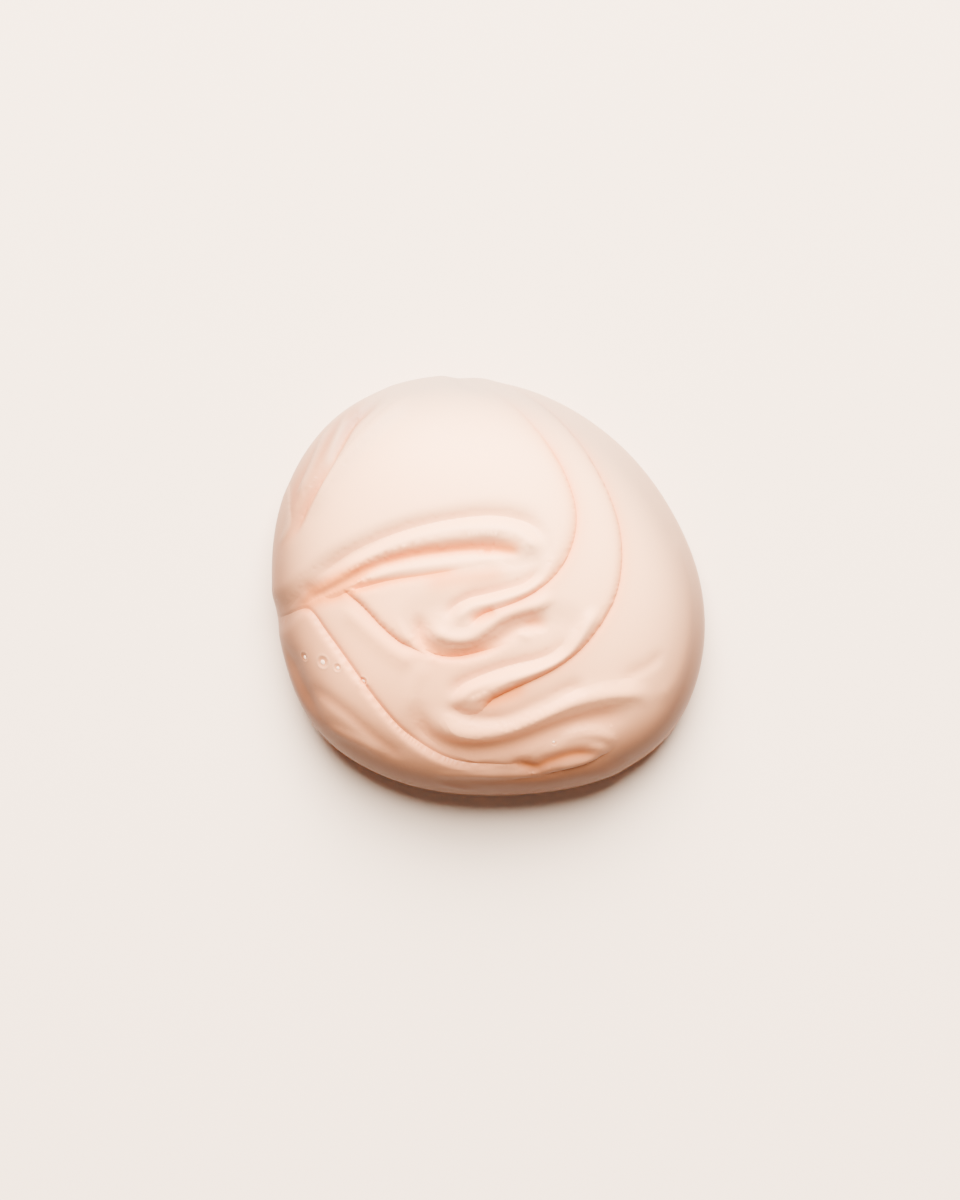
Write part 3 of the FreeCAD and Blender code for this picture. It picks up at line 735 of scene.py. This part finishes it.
def cream_material(name, pale):
    made = bpy.data.materials.new(name)
    made.use_nodes = True
    tree = made.node_tree
    shader = tree.nodes["Principled BSDF"]
    start = Wire(tree, None)
    place = Wire(tree, start.node("ShaderNodeTexCoord").outputs["Object"])
    painted_shade_tone, painted_flank_shade, grey = (
        Wire(tree, start.node("ShaderNodeAttribute", {"attribute_name": paint}).outputs["Fac"])
        for paint in ("painted_shade_tone", "painted_flank_shade", "painted_far_shade")
    )
    cloud = start.node("ShaderNodeTexNoise", Vector=place, Scale=160.0, Detail=3.0, Roughness=0.5)
    pearl = Wire(tree, cloud.outputs["Fac"])
    # The painted light and shade attributes tint the cream from pale towards the warm painted shade, then
    # towards the brown and the grey painted flank shades; the noise is the cream's own uneven pearl.
    skin = (painted_shade_tone + (pearl - 0.5) * 0.06).tint(pale, SHADE_WARM)
    colour = grey.tint(painted_flank_shade.tint(skin, FLANK_SHADE_BROWN), FAR_SHADE_GREY)
    tree.links.new(colour.socket, shader.inputs["Base Color"])
    tree.links.new((0.36 + pearl * 0.1).socket, shader.inputs["Roughness"])
    grain = start.node("ShaderNodeTexNoise", Vector=place, Scale=900.0, Detail=4.0, Roughness=0.6)
    rough = Wire(tree, grain.outputs["Fac"])
    bump = start.node("ShaderNodeBump", Height=rough, Strength=0.05, Distance=0.0002)
    tree.links.new(bump.outputs[0], shader.inputs["Normal"])
    shader.inputs["Specular IOR Level"].default_value = 0.12
    return made


cream = cream_material("cream", PALE)
base_pool.data.materials.append(cream)

# ---- The laps as pieces ----
# Each lap is a closed body: its patch of the skin, an underside on the pool or the floor, and the walls
# between them.


def underside(spots):
    """Where the cream under spots of the map meets the pool or the floor."""
    plan = spots * CONTACT_SHARE / FLOOR_REACH
    left = 1 - (2 * plan[:, 0] / POOL_WIDTH) ** 2 - (2 * plan[:, 1] / POOL_DEPTH) ** 2
    return np.column_stack([plan, POOL_HEIGHT * np.sqrt(np.maximum(left, 0))])


for order, lap in enumerate(laps):
    own = faces[owner == order]
    used, local = np.unique(own, return_inverse=True)
    local = local.reshape(own.shape)
    count = len(used)
    edges = np.vstack([local[:, [0, 1]], local[:, [1, 2]], local[:, [2, 0]]])
    key = np.sort(edges, axis=1)
    _, first, times = np.unique(key, axis=0, return_index=True, return_counts=True)
    border = edges[first[times == 1]]
    floor_line = map_reach[used] > FLOOR_REACH - 1e-6
    low = underside(flat[used])
    same = np.where(floor_line, np.arange(count), np.arange(count) + count)
    polygons = local.tolist() + same[local[:, ::-1]].tolist()
    for a, b in border:
        if not (floor_line[a] and floor_line[b]):
            polygons.append(list(dict.fromkeys((b, a, same[a], same[b]))))
    piece = mesh_piece(lap["name"].replace("_", "-"), np.vstack([skin[used], low]), polygons)
    mesh = piece.data
    for paint, values in (("painted_shade_tone", painted_shade_tone), ("painted_flank_shade", painted_flank_shade), ("painted_far_shade", painted_far_shade)):
        attribute = mesh.attributes.new(paint, "FLOAT", "POINT")
        attribute.data.foreach_set("value", np.tile(values[used], 2).astype(np.float32))
    rim_pairs = {tuple(sorted(pair)) for pair in border.tolist()}
    rim_pairs |= {tuple(sorted((same[a], same[b]))) for a, b in border.tolist()}
    pairs = np.zeros(2 * len(mesh.edges), int)
    mesh.edges.foreach_get("vertices", pairs)
    mesh.attributes.new("sharp_edge", "BOOLEAN", "EDGE").data.foreach_set(
        "value", [tuple(sorted(pair)) in rim_pairs for pair in pairs.reshape(-1, 2).tolist()]
    )
    if floor_line.any():
        shell = bmesh.new()
        shell.from_mesh(mesh)
        bmesh.ops.delete(shell, geom=[v for v in shell.verts if not v.link_faces], context="VERTS")
        shell.to_mesh(mesh)
        shell.free()
    mesh.materials.append(cream)
    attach(piece, "root")
    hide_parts(lap["name"])

# ---- Air bubbles ----
# Small bubbles of air that rose into the skin while the cream was squeezed out. Each is a little ball sunk
# in its dimple.

BUBBLE_SINK = 0.43  # how deep a bubble's middle lies, as a share of its diameter
BUBBLE_SKIN = (0.84, 0.52, 0.34, 1)
SIDES = 24
RINGS = 16


def bubble_mesh():
    points, polygons = [], []
    near = [np.argmin(((flat - spot) ** 2).sum(axis=1)) for spot in bubble_spots]
    for (_, _, diameter), vertex, up in zip(BUBBLES, near, skin_normals(bubble_spots)):
        middle = Vector(skin[vertex]) - BUBBLE_SINK * diameter * Vector(up)
        tilt = Vector(up).to_track_quat("Z", "Y")
        start = len(points)
        for ring in range(1, RINGS):
            turn = math.pi * ring / RINGS
            for k in range(SIDES):
                angle = 2 * math.pi * k / SIDES
                out = math.sin(turn)
                spot = Vector((out * math.cos(angle), out * math.sin(angle), math.cos(turn)))
                points.append(middle + tilt @ (spot * diameter / 2))
        for ring in range(RINGS - 2):
            for k in range(SIDES):
                a, b = start + ring * SIDES + k, start + ring * SIDES + (k + 1) % SIDES
                polygons.append((a, a + SIDES, b + SIDES, b))
        polygons.append(tuple(start + k for k in range(SIDES)))
        polygons.append(tuple(start + (RINGS - 2) * SIDES + k for k in reversed(range(SIDES))))
    return points, polygons


air_bubbles = mesh_piece("air-bubbles", *bubble_mesh())
air_bubbles.data.materials.append(cream_material("bubble skin", BUBBLE_SKIN))
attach(air_bubbles, "root")
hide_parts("air_bubbles")

# ---- Floor, light and camera ----
# A plain pale floor under soft studio light that comes from the far side, seen from straight above. The
# lights and the camera are placed in metres.

FLOOR_HALF = 1500
FLOOR_COLOUR = (0.68, 0.515, 0.395, 1)
LIGHT_COLOUR = (1.0, 0.975, 0.93)

corners = [(x * FLOOR_HALF, y * FLOOR_HALF, 0) for x, y in ((-1, -1), (1, -1), (1, 1), (-1, 1))]
floor = mesh_piece("floor", corners, [(0, 1, 2, 3)])
floor_paint = bpy.data.materials.new("pale floor")
floor_paint.use_nodes = True
floor_shader = floor_paint.node_tree.nodes["Principled BSDF"]
floor_shader.inputs["Base Color"].default_value = FLOOR_COLOUR
floor_shader.inputs["Roughness"].default_value = 0.8
floor.data.materials.append(floor_paint)


def soft_light(name, place, size, power):
    """An oval light of so many watts that faces the heap."""
    data = bpy.data.lights.new(name, "AREA")
    data.shape, data.size, data.size_y = "ELLIPSE", *size
    data.energy, data.color = power, LIGHT_COLOUR
    lamp = bpy.data.objects.new(name, data)
    lamp.location = place
    lamp.rotation_euler = (-Vector(place)).to_track_quat("-Z", "Y").to_euler()
    bpy.context.collection.objects.link(lamp)


soft_light("key", (0.0, 0.42, 0.56), (0.6, 0.62), 44.0)
soft_light("skim", (0.0, 0.57, 0.40), (0.7, 0.5), 26.0)
world = bpy.data.worlds.new("studio")
world.use_nodes = True
world.node_tree.nodes["Background"].inputs["Color"].default_value = (1.0, 0.97, 0.94, 1)
world.node_tree.nodes["Background"].inputs["Strength"].default_value = 0.18
bpy.context.scene.world = world

camera = bpy.data.objects.new("camera", bpy.data.cameras.new("camera"))
camera.location = (-0.00082, -0.00115, 0.41)
camera.data.lens = 146
camera.data.clip_start = 0.01
bpy.context.collection.objects.link(camera)
bpy.context.scene.camera = camera
